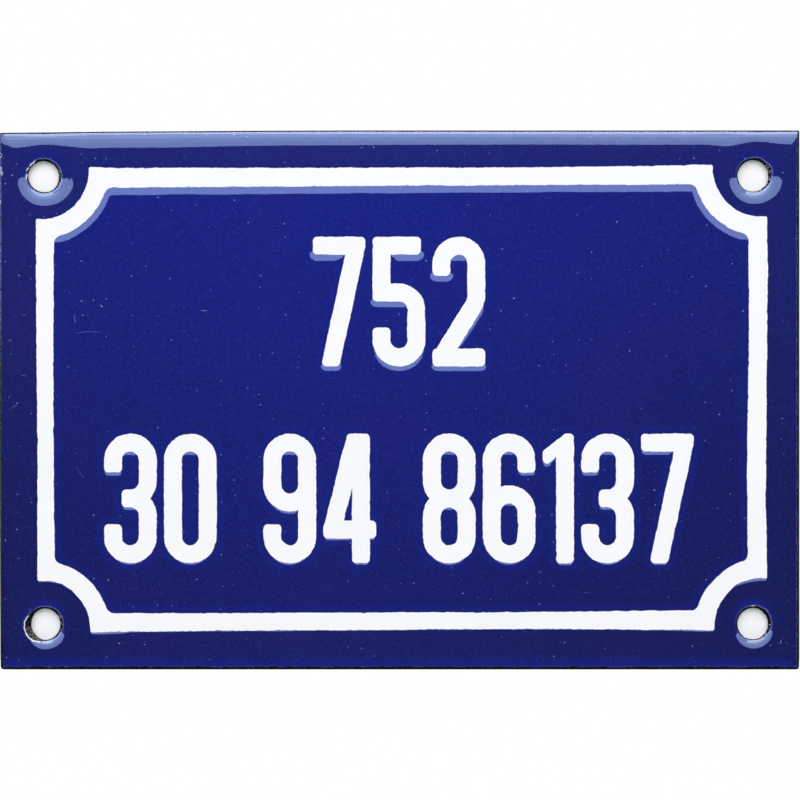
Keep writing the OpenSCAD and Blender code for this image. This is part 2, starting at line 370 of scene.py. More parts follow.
def softened(noise):
    """Noise round a row, averaged with its neighbours."""
    return 0.5 * noise + 0.25 * (np.roll(noise, 1) + np.roll(noise, -1))


def ragged(row, s, chance):
    """A white outline moved in and out by fine grain and a slow wave."""
    row = evenly(row, s.stencil_step)
    count = len(row)
    fine = softened(chance.normal(0.0, 1.0, count))
    wave_length = 1.6
    knots = max(4, int(count * s.stencil_step / wave_length))
    slow = chance.normal(0.0, 1.0, knots)
    slow = np.interp(np.arange(count) * knots / count, np.arange(knots + 1), np.append(slow, slow[0]))
    # Sharp turns stay where they are, so that the row never crosses itself
    ahead = np.roll(row, -1, axis=0) - row
    heading = np.unwrap(np.arctan2(ahead[:, 1], ahead[:, 0]))
    turn = np.abs((heading - np.roll(heading, 1) + math.pi) % (2 * math.pi) - math.pi)
    turn = np.maximum.reduce([np.roll(turn, shift) for shift in (-2, -1, 0, 1, 2)])
    free = np.clip(1.6 - turn / math.radians(16), 0.0, 1.0)
    moved = s.stencil_grain * np.clip(fine, -2, 2) + s.stencil_wave * np.clip(slow, -1.6, 1.6)
    return row + outward(row) * (free * moved)[:, None]


def read_off(table, at):
    """Values read off a table of (place, value) pairs."""
    places, values = np.array(table).T
    return np.interp(at, places, values)


def by_degrees(pairs, angles):
    """Values given at some angles, read off round the circle at other ones."""
    return read_off(pairs + ((pairs[0][0] + 360, pairs[0][1]),), angles)


def within(stretches, angles):
    """1 where an angle lies in one of the stretches, else 0."""
    hit = np.zeros(len(angles))
    for low, high in stretches:
        hit[((angles - low) % 360) <= (high - low)] = 1.0
    return hit


def plate_outline(s, inset, step):
    """The plate's rounded outline, anticlockwise, at an inset."""
    half_w, half_h = s.width / 2 - inset, s.height / 2 - inset
    steps = CORNER_STEPS if s.corner - inset > 0.05 else 0
    row = []
    for start, sx, sz in ((0, 1, 1), (90, -1, 1), (180, -1, -1), (270, 1, -1)):
        r = max(s.corner * (UPPER_CORNER if sz > 0 else 1.0) - inset, 0.0)
        for k in range(steps + 1):
            angle = math.radians(start + (90 * k / steps if steps else 45))
            row.append((sx * (half_w - r) + r * math.cos(angle), sz * (half_h - r) + r * math.sin(angle)))
    row = evenly(np.array(row), step)
    lean = read_off(LEFT_LEAN, row[:, 1]) * np.clip(-row[:, 0] / half_w, 0.0, 1.0)
    row[:, 1] -= read_off(TOP_SAG, row[:, 0]) * np.clip(row[:, 1] / half_h, 0.0, 1.0)
    row[:, 0] += lean
    return row


def ring_row(centre, radius, count):
    """A row round a centre, anticlockwise from the right, of one radius or one for each point."""
    angle = np.linspace(0.0, 2 * math.pi, count, endpoint=False)
    return np.column_stack([centre[0] + radius * np.cos(angle), centre[1] + radius * np.sin(angle)])


def spaced(row, step):
    """The points of a row that lie at least a step from the last one kept."""
    kept = [0]
    for k in range(1, len(row)):
        if math.hypot(*(row[k] - row[kept[-1]])) >= step:
            kept.append(k)
    return row[kept]


def grid(low_x, high_x, step_x, low_z, high_z, step_z):
    """Points in even rows and columns."""
    xs, zs = np.meshgrid(np.arange(low_x, high_x, step_x), np.arange(low_z, high_z, step_z))
    return np.column_stack([xs.ravel(), zs.ravel()])


def hole_centres(s):
    """The four screw holes' names and centres."""
    return {
        f"{up}_{side}": np.array([x * s.hole_x / 2, z * s.hole_z / 2])
        for up, z in (("upper", 1), ("lower", -1))
        for side, x in (("left", -1), ("right", 1))
    }


def away_from(points, centres, distance):
    """The points that lie further than a distance from every centre."""
    for centre in centres:
        points = points[np.hypot(*(points - centre).T) > distance]
    return points


# ---- Height of the enamel


class Waves:
    """A gentle unevenness made of a few long and short waves."""

    def __init__(self, chance, lengths, height):
        turn = 2 * math.pi
        self.parts = [
            (height * w / lengths[-1], turn / w, chance.uniform(0, turn), chance.uniform(0, turn))
            for w in lengths
        ]

    def at(self, x, z):
        total = np.zeros_like(x)
        for height, rate, turn, phase in self.parts:
            total += height * np.sin(rate * (x * math.cos(turn) + z * math.sin(turn)) + phase)
        return total


class WhiteDistance:
    """Finds how far points lie from the white outlines, outline by outline."""

    # Side of the square cells that the points are sorted into, and the longest distance given
    CELL = 2.0
    REACH = 3.0

    def __init__(self, outlines):
        self.rows = [evenly(row, 0.1) for row in outlines]
        self.normals = [outward(row) for row in self.rows]
        self.cells = {}
        for number, row in enumerate(self.rows):
            home = np.floor(row / self.CELL).astype(int)
            for dx in (-1, 0, 1):
                for dz in (-1, 0, 1):
                    keys, first = np.unique(home + (dx, dz), axis=0, return_inverse=True)
                    first = first.reshape(-1)
                    for k, key in enumerate(map(tuple, keys)):
                        found = self.cells.setdefault(key, {}).setdefault(number, [])
                        found.append(np.flatnonzero(first == k))
        for found in self.cells.values():
            for number, parts in found.items():
                found[number] = np.unique(np.concatenate(parts))

    def each(self, points):
        """Yields which points, and their signed distances from one outline, positive in the blue."""
        home = np.floor(points / self.CELL).astype(int)
        order = np.lexsort((home[:, 1], home[:, 0]))
        edges = np.flatnonzero(np.any(np.diff(home[order], axis=0) != 0, axis=1)) + 1
        for group in np.split(order, edges):
            if len(group) == 0:
                continue
            for number, near in self.cells.get(tuple(home[group[0]]), {}).items():
                row, normal = self.rows[number][near], self.normals[number][near]
                apart = points[group][:, None, :] - row[None, :, :]
                square = (apart ** 2).sum(axis=2)
                best = square.argmin(axis=1)
                picked = apart[np.arange(len(group)), best]
                away = (picked * normal[best]).sum(axis=1)
                # The outline passes between the row's points, so up to half a step aside is taken off
                aside = np.minimum(np.sqrt(np.maximum(square.min(axis=1) - away ** 2, 0.0)), 0.05)
                distance = np.sqrt(np.maximum(square.min(axis=1) - aside ** 2, 0.0))
                yield group, np.where(away < 0, -distance, distance)

    def nearest(self, points):
        """The least distance of each point from any outline, up to the reach."""
        least = np.full(len(points), self.REACH)
        for group, distance in self.each(points):
            least[group] = np.minimum(least[group], np.abs(distance))
        return least


def arc_drop(inside, width, press, inward=0.0):
    """How far a rounded edge has fallen at a distance inside it. Its arc falls press over width."""
    radius = (width ** 2 + press ** 2) / (2 * press) - inward
    inside = np.clip(inside, 0.0, radius - 0.01)
    return radius - np.sqrt(radius ** 2 - inside ** 2)


class EnamelFace:
    """The front of the sign: the pressed sheet, the glaze that sinks to the white, and its waves."""

    # How far the waves' middle lies behind the foremost plane, so that no wave passes it
    WAVE_ROOM = 0.015
    # How much more tightly the right edge rolls near its top, from which height and over how much
    TIGHTER, TIGHT_FROM, TIGHT_OVER = 1.4, 36, 8
    # How sharply the two rolls meet at the left corners and at the right ones: more is sharper
    LEFT_FOLD, RIGHT_FOLD = 2.0, 7.0
    # How much deeper the blue sinks at the deeper places, and their half width and height
    DEEPER_SHARE, DEEPER_X, DEEPER_Z = 0.22, 4.0, 1.5

    def __init__(self, s, outlines, chance):
        self.s = s
        self.press = s.depth - s.sheet
        self.white = WhiteDistance(outlines)
        self.slow = Waves(chance, (19.0, 26.0, 37.0, 52.0), 0.0055)
        self.fine = Waves(chance, (2.3, 2.9, 3.7, 4.3, 5.1, 6.7), 0.0004)
        self.flow = Waves(chance, (5.3, 7.9, 11.0, 17.0), 0.025)
        self.holes = hole_centres(s)
        self.rings = {name: centre + OFF_CENTRE[name] for name, centre in self.holes.items()}

    def upright(self, x, z):
        """Distance up or down from the middle, as if the top edge were straight."""
        return np.where(z > 0, z + read_off(TOP_SAG, x), -z)

    def sideways(self, x, z):
        """Distance left or right from the middle, as if the left edge stood upright."""
        return np.where(x < 0, -x + read_off(LEFT_LEAN, z), x)

    def edge_distance(self, x, z):
        """How far inside the plate's outline a point lies."""
        corner = self.s.corner * np.where(z > 0, UPPER_CORNER, 1.0)
        qx = self.sideways(x, z) - (self.s.width / 2 - corner)
        qz = self.upright(x, z) - (self.s.height / 2 - corner)
        return corner - np.hypot(np.maximum(qx, 0), np.maximum(qz, 0)) - np.minimum(np.maximum(qx, qz), 0)

    def pressed_back(self, x, z):
        """How far the sheet's back is pressed towards the wall."""
        s = self.s
        drop = np.zeros_like(x)
        for inside in (self.sideways(x, z) - s.width / 2, self.upright(x, z) - s.height / 2):
            drop = np.maximum(drop, arc_drop(inside + s.roll, s.roll, self.press, s.sheet))
        for centre in self.holes.values():
            inside = s.hole + s.dish - np.hypot(x - centre[0], z - centre[1])
            drop = np.maximum(drop, arc_drop(inside, s.dish, self.press, s.sheet))
        return drop

    def pressed(self, x, z):
        """How far the face is pressed towards the wall by its rolled edges and dished holes."""
        s, press = self.s, self.press
        tight = np.clip((z - self.TIGHT_FROM) / self.TIGHT_OVER, 0.0, 1.0) * (x > 0)
        side_roll = s.roll - self.TIGHTER * tight
        sides = arc_drop(self.sideways(x, z) - s.width / 2 + side_roll, side_roll, press)
        bowed = sum(read_off(TOP_BOW, x + shift) for shift in (-0.9, -0.3, 0.3, 0.9)) / 4
        roll = s.roll - np.where(z > 0, bowed + read_off(TOP_SAG, x), 0.0)
        ends = arc_drop(self.upright(x, z) - s.height / 2 + roll, roll, press)
        power = np.where(x < 0, self.LEFT_FOLD, self.RIGHT_FOLD)
        drop = (sides ** power + ends ** power) ** (1 / power)
        for name, centre in self.rings.items():
            right, top, left, bottom = DISHES[name]
            off_x, off_z = x - centre[0], z - centre[1]
            away = np.maximum(np.hypot(off_x, off_z), 0.1)
            radius = np.where(off_x > 0, right, left) * (off_x / away) ** 2
            radius += np.where(off_z > 0, top, bottom) * (off_z / away) ** 2
            drop = np.maximum(drop, arc_drop(radius - away, radius - s.hole, press))
        return drop

    def sunk(self, x, z):
        """How far the blue sinks beside the white."""
        total = np.zeros(len(x))
        width = self.s.glaze_flow * (1.0 + self.flow.at(x, z))
        spots = sum(
            np.exp(-((x - at_x) / self.DEEPER_X) ** 2 - ((z - at_z) / self.DEEPER_Z) ** 2)
            for at_x, at_z in DEEPER
        )
        step = self.s.glaze_step * (1.0 + self.DEEPER_SHARE * spots)
        for group, distance in self.white.each(np.column_stack([x, z])):
            part = np.clip(1.0 - distance / width[group], 0.0, 1.1)
            part[distance < -0.15] = 0.0
            total[group] += (step[group] * part ** 2) ** 3
        return np.cbrt(total)

    def y(self, x, z):
        """Depth of the enamel's surface, on the frame's y axis."""
        s = self.s
        inside = self.edge_distance(x, z)
        # The bottom edge has the thicker enamel's rounding, and the others the cut edge's
        low = np.clip(-z - s.height / 2 + 2.5, 0.0, 1.0)
        arris = s.arris + (s.bead - s.arris) * low
        over = np.clip(arris - inside, 0.0, 0.95 * arris)
        rounding = arris - np.sqrt(arris ** 2 - over ** 2)
        calm = np.clip(inside / 4.0, 0.0, 1.0)
        uneven = self.WAVE_ROOM + (self.slow.at(x, z) + self.fine.at(x, z)) * calm
        return -s.depth + self.pressed(x, z) + rounding + self.sunk(x, z) + uneven

    def normals(self, x, z):
        """Unit normals of the enamel's surface, towards the front."""
        h = 0.012
        slope_x = (self.y(x + h, z) - self.y(x - h, z)) / (2 * h)
        slope_z = (self.y(x, z + h) - self.y(x, z - h)) / (2 * h)
        normal = np.column_stack([slope_x, -np.ones_like(x), slope_z])
        return normal / np.linalg.norm(normal, axis=1)[:, None]


# ---- The face cut into triangles, shared by the blue and the white

# Rows of points, as (distance from an outline, step along it): beside the white, and in from the
# plate's outline on the face and on the back
FLOW_ROWS = (
    (0.09, 0.24), (0.2, 0.26), (0.36, 0.32), (0.56, 0.38), (0.8, 0.46), (1.08, 0.56), (1.4, 0.68),
    (1.75, 0.85),
)
ROLL_ROWS = (
    (0.05, 0.5), (0.12, 0.5), (0.22, 0.55), (0.34, 0.6), (0.5, 0.7), (0.75, 0.8), (1.05, 0.8), (1.4, 0.9),
    (1.8, 0.9), (2.2, 0.9), (2.6, 0.9), (2.95, 0.9), (3.15, 1.0), (3.5, 1.2),
)
BACK_ROWS = (
    (0.35, 1.2), (0.7, 1.0), (1.1, 1.1), (1.5, 1.1), (1.9, 1.2), (2.3, 1.2), (2.7, 1.3), (3.1, 1.5),
    (3.3, 1.5), (4.2, 2.0),
)
# Closer rows along the top, where the edge of the mirrored sky lies, by distance from the top
TOP_ROWS = (1.95, 2.15, 2.32, 2.48, 2.64, 2.8, 2.95, 3.1, 3.25, 3.4, 3.55, 3.75)
# Radii of the rings of points round a screw hole, on the face and on the back
DISH_RINGS = (3.16, 3.28, 3.42, 3.58, 3.76, 3.96, 4.18, 4.42, 4.68, 4.94, 5.12, 5.26, 5.5, 5.9)
BACK_RINGS = (3.3, 3.55, 3.7, 3.85, 4.05, 4.3, 4.6, 4.9, 5.15, 5.3, 5.8)
# Points in each of the rows that edge a hole's coat, its bare ring and the sound glass
RING_POINTS = 132


def rim_row(s, chance):
    """The ragged row round the plate where the blue begins."""
    inset = 0.3
    rim = plate_outline(s, inset, 0.22)
    x, z = rim.T
    sides = np.column_stack([s.width / 2 + x, s.width / 2 - x, s.height / 2 - z, s.height / 2 + z])
    nearness = 1 / np.maximum(sides, 0.05) ** 4
    wanted = (nearness * list(BARE_RIM.values())).sum(axis=1) / nearness.sum(axis=1)
    jitter = chance.normal(0.0, 1.0, len(rim))
    jitter = 0.6 * jitter + 0.4 * np.roll(jitter, 1)
    wanted = np.maximum(wanted * (1 + 0.22 * np.clip(jitter, -2, 2)), 0.08)
    return rim + outward(rim) * (inset - wanted)[:, None]


def hole_rows(s, name, centre, chance):
    """The rows that edge a hole's coat, its bare ring and the sound glass."""
    angles = np.arange(RING_POINTS) * 360 / RING_POINTS
    noise = softened(chance.normal(0.0, 1.0, RING_POINTS))
    glass = s.hole + np.maximum(by_degrees(BARE_RINGS[name], angles) + 0.06 * noise, 0.13)
    lip = np.where(within(BRIGHT_BREAKS[name], angles) > 0, 0.17, 0.09)
    lip = lip * (1 + 0.25 * np.clip(np.roll(noise, 7), -1.5, 1.5))
    coat = s.hole - by_degrees(COAT_IN_HOLE[name], angles) + 0.035 * np.roll(noise, 31)
    bare = np.maximum(glass - lip, coat + 0.05)
    return [ring_row(centre, radius, RING_POINTS) for radius in (coat, bare, glass)]


def shaping_points(s, face, outlines, chance):
    """Yields points where the face curves: beside the white, at its edges and round the holes."""
    for distance, step in FLOW_ROWS:
        for row in outlines:
            fine = evenly(row, 0.08)
            shifted = spaced(fine + outward(fine) * distance, step)
            yield shifted[face.white.nearest(shifted) > 0.86 * distance]
    for inset, step in ROLL_ROWS:
        yield plate_outline(s, inset, step)
    along = np.arange(-s.width / 2 + 0.6, s.width / 2 - 0.5, 0.42)
    for inset in TOP_ROWS:
        # Some rows are shifted by half a step
        shift = 0.21 * (inset * 10 % 2 > 1)
        yield np.column_stack([along + shift, np.full(len(along), s.height / 2 - inset)])
    # Close grids at the upper corners, where the two rolled edges meet
    for left in (-74.4, 71.0):
        yield grid(left, left + 3.45, 0.24, 46.6, 49.8, 0.24)
    for name, centre in face.rings.items():
        for radius in DISH_RINGS:
            count = int(2 * math.pi * radius / 0.42)
            taken = s.hole + by_degrees(BARE_RINGS[name], np.arange(count) * 360 / count)
            yield ring_row(centre, radius, count)[radius > taken * 1.02 + 0.08]
        # Rings in the rough bare ring
        for radius in np.arange(2.96, 4.1, 0.16):
            count = int(2 * math.pi * radius / 0.18)
            ring = ring_row(centre, radius, count) + chance.uniform(-0.04, 0.04, (count, 2))
            around = np.arange(count) * 360 / count
            taken = s.hole + by_degrees(BARE_RINGS[name], around)
            free = s.hole - by_degrees(COAT_IN_HOLE[name], around)
            yield ring[(radius < taken * 0.99 - 0.24) & (radius > free + 0.1)]


def mark_points():
    """Points that carry the marks, and how strong the mark is at each."""
    places, strengths = [], []
    for x1, z1, x2, z2, width, strength in MARKS:
        run = math.hypot(x2 - x1, z2 - z1)
        along, across = np.array([x2 - x1, z2 - z1]) / run, np.array([z1 - z2, x2 - x1]) / run
        for t in np.arange(-width, run + width + 0.04, 0.08):
            wobble = 0.25 * width * math.sin(9.0 * t / width)
            here = strength if 0 <= t <= run else 0.0
            for side in (-1.0, -0.4, 0.0, 0.4, 1.0):
                places.append(np.array([x1, z1]) + along * t + across * (side * width + wobble))
                strengths.append(here * (1 - abs(side)))
    return np.array(places), strengths


def cut_up(points, areas):
    """Cuts the plane into triangles through points and along areas, given as rows of point numbers.

    Returns the places, the points that each came from, and the triangles with the areas of each.
    """
    turned = []
    for area in areas:
        row = points[area]
        turned.append(area[::-1] if np.cross(row, np.roll(row, -1, axis=0)).sum() < 0 else area)
    cut = delaunay_2d_cdt([Vector(point) for point in points], [], turned, 0, 1e-5)
    return np.array([tuple(point) for point in cut[0]]), cut[3], list(zip(cut[2], cut[5]))


def face_layout(s):
    """Cuts the sign's face into triangles along every edge of colour and shape."""
    chance = np.random.default_rng(s.seed)
    line = [bent(row, edge) for edge, row in enumerate(front_outlines("white_border"), 1)]
    outlines = line + front_outlines("white_numerals")
    face = EnamelFace(s, outlines, chance)
    rows = [plate_outline(s, 0.0, 0.3), rim_row(s, chance)]
    names = ["plate", "rim"]
    for name, centre in face.rings.items():
        rows += hole_rows(s, name, centre, chance)
        names += ["hole", "bare", "broken"]
    for row in outlines:
        rows.append(ragged(row, s, chance))
        names.append("white")
    starts = np.cumsum([0] + [len(row) for row in rows])
    areas = [list(range(low, high)) for low, high in zip(starts, starts[1:])]

    rows += shaping_points(s, face, outlines, chance)
    first_mark = sum(len(row) for row in rows)
    mark_at, strengths = mark_points()
    # Even fill of the flat field
    half_w, half_h = s.width / 2 - 4, s.height / 2 - 4
    fill = grid(-half_w, half_w, 1.7, -half_h, half_h, 1.5)
    fill += chance.uniform(-0.25, 0.25, fill.shape)
    fill = away_from(fill[face.white.nearest(fill) > 1.9], face.holes.values(), 6.2)
    places, origins, triangles = cut_up(np.vstack(rows + [mark_at, fill]), areas)

    marks = np.zeros(len(places))
    for k, origin in enumerate(origins):
        for number in origin:
            if first_mark <= number < first_mark + len(mark_at):
                marks[k] = strengths[number - first_mark]
    kinds = {"blue": [], "white": [], "bare": [], "broken": []}
    outside_line = np.zeros(len(places), bool)
    for corners, origin in triangles:
        held = [names[number] for number in origin]
        if "plate" not in held or "hole" in held:
            continue
        if "bare" in held or "rim" not in held:
            kind = "bare"
        elif "broken" in held:
            kind = "broken"
        else:
            # Between the line's two outlines and in a figure's strokes the count is odd
            kind = "white" if held.count("white") % 2 else "blue"
        kinds[kind].append(corners)
        if kind == "blue" and "white" not in held:
            outside_line[list(corners)] = True
    kinds = {kind: np.array(found, int) for kind, found in kinds.items()}
    return SimpleNamespace(
        s=s, face=face, places=places, kinds=kinds, marks=marks, outside_line=outside_line, chance=chance
    )


LAYOUTS = {}


def layout():
    """The face's triangles, worked out once for all its pieces."""
    s = in_mm(bpy.context.scene.sign_sizes)
    key = tuple(sorted(vars(s).items()))
    if key not in LAYOUTS:
        LAYOUTS.clear()
        LAYOUTS[key] = face_layout(s)
    return LAYOUTS[key]


def belongs(cut, kind):
    """Whether each point belongs to a triangle of a kind."""
    hit = np.zeros(len(cut.places), bool)
    hit[cut.kinds[kind]] = True
    return hit


def border_edges(triangles):
    """The directed edges that only one of the triangles has."""
    edges = np.vstack([triangles[:, [0, 1]], triangles[:, [1, 2]], triangles[:, [2, 0]]])
    known = set(map(tuple, edges))
    return [edge for edge in map(tuple, edges) if (edge[1], edge[0]) not in known]


# ---- Meshes

# The plate's materials, by number
BLUE, GROUND, BROKEN, BACK = range(4)
# How rough the chips and the walls are, in mm
CHIP_ROUGH, WALL_ROUGH = 0.018, 0.012
# The wall's lanes: how far down it each lies, and how far the cut edge is drawn in there
WALL_LANES = ((0.25, 0.0), (0.5, 0.0), (0.75, 0.0), (0.93, 0.0), (1.0, 0.12))
# How far from a hole's middle its broken ring may reach
RING_REACH = 4.6
# Where round a hole the painted highlight on its glass lip is brightest, in degrees
LIP_HIGHLIGHT_AT = 55


class Builder:
    """Collects vertices and faces, each with a material number."""

    def __init__(self):
        self.vertices, self.count = [], 0
        self.faces, self.materials, self.smooth = [], [], []

    def add_vertices(self, x, y, z):
        """Adds vertices at places in mm and returns the first one's number."""
        first = self.count
        self.vertices.append(np.column_stack(np.broadcast_arrays(x, y, z)))
        self.count += len(x)
        return first

    def add_faces(self, faces, material, smooth):
        self.faces.extend(tuple(int(corner) for corner in face) for face in faces)
        self.materials.extend([material] * len(faces))
        self.smooth.extend([smooth] * len(faces))

    def finish(self, name, materials, normals=None, values=None):
        """Makes the object. It may have a normal and named values for every vertex."""
        mesh = bpy.data.meshes.new(name)
        mesh.from_pydata((np.vstack(self.vertices) * MM).tolist(), [], self.faces)
        mesh.polygons.foreach_set("material_index", self.materials)
        mesh.polygons.foreach_set("use_smooth", self.smooth)
        for material in materials:
            mesh.materials.append(material)
        for label, data in (values or {}).items():
            layer = mesh.attributes.new(label, "FLOAT", "POINT")
            layer.data.foreach_set("value", data)
        mesh.update()
        if normals is not None:
            corners = np.empty(len(mesh.loops), int)
            mesh.loops.foreach_get("vertex_index", corners)
            mesh.normals_split_custom_set(normals[corners].tolist())
        made = bpy.data.objects.new(name, mesh)
        bpy.context.scene.collection.objects.link(made)
        return made


def seat(piece, node):
    """Puts a piece on the sign in place of its CAD node."""
    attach(piece, "root")
    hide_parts(node)


def add_walls(build, cut, front_y, rims):
    """Walls of the holes and of the cut edge, in lanes of vertices from the face to the back.

    Returns the last lane's vertices, and the closed rows of places in that lane.
    """
    s, face = cut.s, cut.face
    ends = np.unique(np.array(rims))
    x, z = cut.places[ends].T
    at_edge = face.edge_distance(x, z) < 0.1
    back_x, back_z = x.copy(), z.copy()
    for name, centre in face.rings.items():
        off_x, off_z = x - centre[0], z - centre[1]
        on_hole = ~at_edge & (np.hypot(off_x, off_z) < s.hole + 1.0)
        angle = np.arctan2(off_z, off_x)
        back_x[on_hole] = (face.holes[name][0] + s.hole * np.cos(angle))[on_hole]
        back_z[on_hole] = (face.holes[name][1] + s.hole * np.sin(angle))[on_hole]
    lanes = [ends]
    for share, drawn in WALL_LANES:
        pull = np.where(at_edge, drawn, 0.0)
        shake = np.abs(cut.chance.normal(0.0, WALL_ROUGH, len(ends)) * (share < 1) * at_edge)
        lane_x = (x + (back_x - x) * share) * (1 - pull / (s.width / 2))
        lane_z = (z + (back_z - z) * share) * (1 - pull / (s.height / 2))
        lane_x -= np.sign(lane_x) * shake
        lane_z -= np.sign(lane_z) * shake
        first = build.add_vertices(lane_x, front_y[ends] * (1 - share), lane_z)
        lanes.append(np.arange(first, first + len(ends)))
    where = {number: k for k, number in enumerate(ends)}
    steps = [(where[a], where[b]) for a, b in rims]
    for upper, lower in zip(lanes, lanes[1:]):
        build.add_faces([(upper[b], upper[a], lower[a], lower[b]) for a, b in steps], GROUND, True)
    return lanes[-1], list(chains(dict(steps)))


def add_back(build, cut, last, rings):
    """The hollow behind the flat, the rolled edge and the bosses that meet the wall."""
    s, holes = cut.s, cut.face.holes.values()
    rim = np.vstack(build.vertices)[last][:, [0, 2]]
    loose = [plate_outline(s, inset, step) for inset, step in BACK_ROWS]
    for centre in holes:
        loose += [ring_row(centre, radius, int(2 * math.pi * radius / 0.55)) for radius in BACK_RINGS]
    half_w, half_h = s.width / 2 - 5.5, s.height / 2 - 5.5
    loose.append(away_from(grid(-half_w, half_w, 2.6, -half_h, half_h, 2.6), holes, 6.4))
    places, origins, triangles = cut_up(np.vstack([rim] + loose), rings)
    number_of = np.full(len(places), -1)
    for k, origin in enumerate(origins):
        on_rim = [number for number in origin if number < len(rim)]
        if on_rim:
            number_of[k] = last[on_rim[0]]
    fresh = number_of < 0
    x, z = places[fresh].T
    y = np.minimum(-s.depth + s.sheet + cut.face.pressed_back(x, z), 0.0)
    first = build.add_vertices(x, y, z)
    number_of[fresh] = np.arange(first, first + len(x))
    outer = max(range(len(rings)), key=lambda k: len(rings[k]))
    faces = [number_of[list(corners)[::-1]] for corners, origin in triangles if set(origin) == {outer}]
    build.add_faces(faces, BACK, True)


def plate_normals(build, cut):
    """A normal for each vertex: the enamel's own on the face, the faces' mean elsewhere."""
    normals = np.zeros((build.count, 3))
    places = np.vstack(build.vertices)
    for corners, material in zip(build.faces, build.materials):
        if material in (GROUND, BACK):
            a, b, c = places[list(corners[:3])]
            normals[list(corners)] += np.cross(b - a, c - a)
    lengths = np.linalg.norm(normals, axis=1)
    normals[lengths > 0] /= lengths[lengths > 0][:, None]
    glazed = np.flatnonzero(belongs(cut, "blue") | belongs(cut, "broken"))
    normals[glazed] = cut.face.normals(*cut.places[glazed].T)
    return normals


def plate_values(cut, normals):
    """What the enamel's colours read at each vertex, by name."""
    s, face = cut.s, cut.face
    x, z = cut.places.T
    count = len(x)
    bare, broken = belongs(cut, "bare"), belongs(cut, "broken")
    marks = cut.marks.copy()
    # Painted light from below: the blue is brighter where the plate turns down and round the holes, most in
    # their upper halves, which face down
    thin = np.clip((-normals[:count, 2] - 0.04) / 0.36, 0, 1) * cut.outside_line
    break_glint, grit_and_glints, lip, steel = np.zeros((4, count))
    for name, centre in face.rings.items():
        off_x, off_z = x - centre[0], z - centre[1]
        away, angle = np.hypot(off_x, off_z), np.degrees(np.arctan2(off_z, off_x))
        above = np.clip(0.6 + 0.4 * off_z / s.hole, 0.3, 1.0)
        thin = np.maximum(thin, above * np.clip(1 - (away - s.hole - 0.3) / 1.9, 0, 1) ** 1.5)
        ring = away < RING_REACH
        on_break, on_bare, on_glass = ring & broken, ring & bare, ring & ~bare
        # Painted glints on the bright breaks
        break_glint[on_break] = within(BRIGHT_BREAKS[name], angle)[on_break]
        # Whitish grains in the ring's rough stretch: partly real grains, partly painted glints
        grit_and_glints[on_bare] = within((GRIT_AND_GLINTS[name],), angle)[on_bare]
        steel[on_bare] = within(STEEL_SHOWS.get(name, ()), angle)[on_bare]
        # Painted highlight beside the ring's lower right, where the dish mirrors the sky: whitish and
        # grainy, added to the marks
        start, end, reach = RING_SHEEN[name]
        along = ((angle - start) % 360) / (end - start)
        out = away - s.hole - by_degrees(BARE_RINGS[name], angle % 360)
        ring_sheen = np.where(along < 1, np.sin(np.pi * np.clip(along, 0, 1)), 0.0)
        marks[on_glass] += (0.6 * (ring_sheen * np.clip(1 - out / reach, 0, 1)))[on_glass]
        # Painted highlight on the glass lip, brightest towards the upper right
        on_lip = on_break & ~on_bare
        lip[on_lip] = np.clip(0.55 + 0.45 * np.cos(np.radians(angle - LIP_HIGHLIGHT_AT)), 0, 1)[on_lip]
    # Each value at the face's points, and what the vertices behind the face have
    values = {
        "near_white": (face.white.nearest(cut.places), face.white.REACH),
        "margin": (cut.outside_line, 0.0),
        "mark": (marks, 0.0),
        "thin": (thin, 0.0),
        "break_glint": (break_glint, 0.0),
        "grit_and_glints": (grit_and_glints, 0.0),
        "lip": (lip, 0.0),
        "steel": (steel, 0.0),
    }
    behind = len(normals) - count
    return {name: np.append(data, np.full(behind, other)) for name, (data, other) in values.items()}


def build_plate(cut):
    """The pressed plate as one closed mesh: face, beds of the white, holes, edge and back."""
    s, kinds = cut.s, cut.kinds
    x, z = cut.places.T
    # Chipped rings round the holes lie deeper and are rough
    chipped = belongs(cut, "bare") & ~belongs(cut, "blue")
    front_y = cut.face.y(x, z) + chipped * (s.chip_depth + cut.chance.normal(0.0, CHIP_ROUGH, len(x)))
    build = Builder()
    build.add_vertices(x, front_y, z)
    for kind, material in (("blue", BLUE), ("bare", GROUND), ("broken", BROKEN)):
        build.add_faces(kinds[kind], material, True)
    # Beds under the white
    bed = build.add_vertices(x, -s.depth + s.glaze_step + s.white, z)
    build.add_faces(kinds["white"] + bed, GROUND, False)
    rims = border_edges(np.vstack([kinds[kind] for kind in ("blue", "bare", "broken")]))
    white_rim = {(b, a) for a, b in border_edges(kinds["white"])}
    build.add_faces([(b, a, a + bed, b + bed) for a, b in rims if (a, b) in white_rim], BLUE, False)
    last, rings = add_walls(build, cut, front_y, [edge for edge in rims if edge not in white_rim])
    add_back(build, cut, last, rings)
    normals = plate_normals(build, cut)
    materials = [blue_enamel(), ground_coat(), broken_glaze(), back_coat()]
    return build.finish("enamelled_plate", materials, normals, plate_values(cut, normals))


def build_white(cut, name, keep):
    """White enamel laid in the plate's beds, as closed thin slabs of the triangles to keep."""
    s = cut.s
    used, inverse = np.unique(cut.kinds["white"][keep], return_inverse=True)
    triangles = inverse.reshape(-1, 3)
    x, z = cut.places[used].T
    top_y = -s.depth + s.glaze_step
    build = Builder()
    front = build.add_vertices(x, top_y, z)
    back = build.add_vertices(x, top_y + s.white, z)
    build.add_faces(triangles + front, 0, False)
    build.add_faces(triangles[:, ::-1] + back, 0, False)
    build.add_faces([(b, a, a + back, b + back) for a, b in border_edges(triangles)], 0, False)
    return build.finish(name, [white_enamel()])


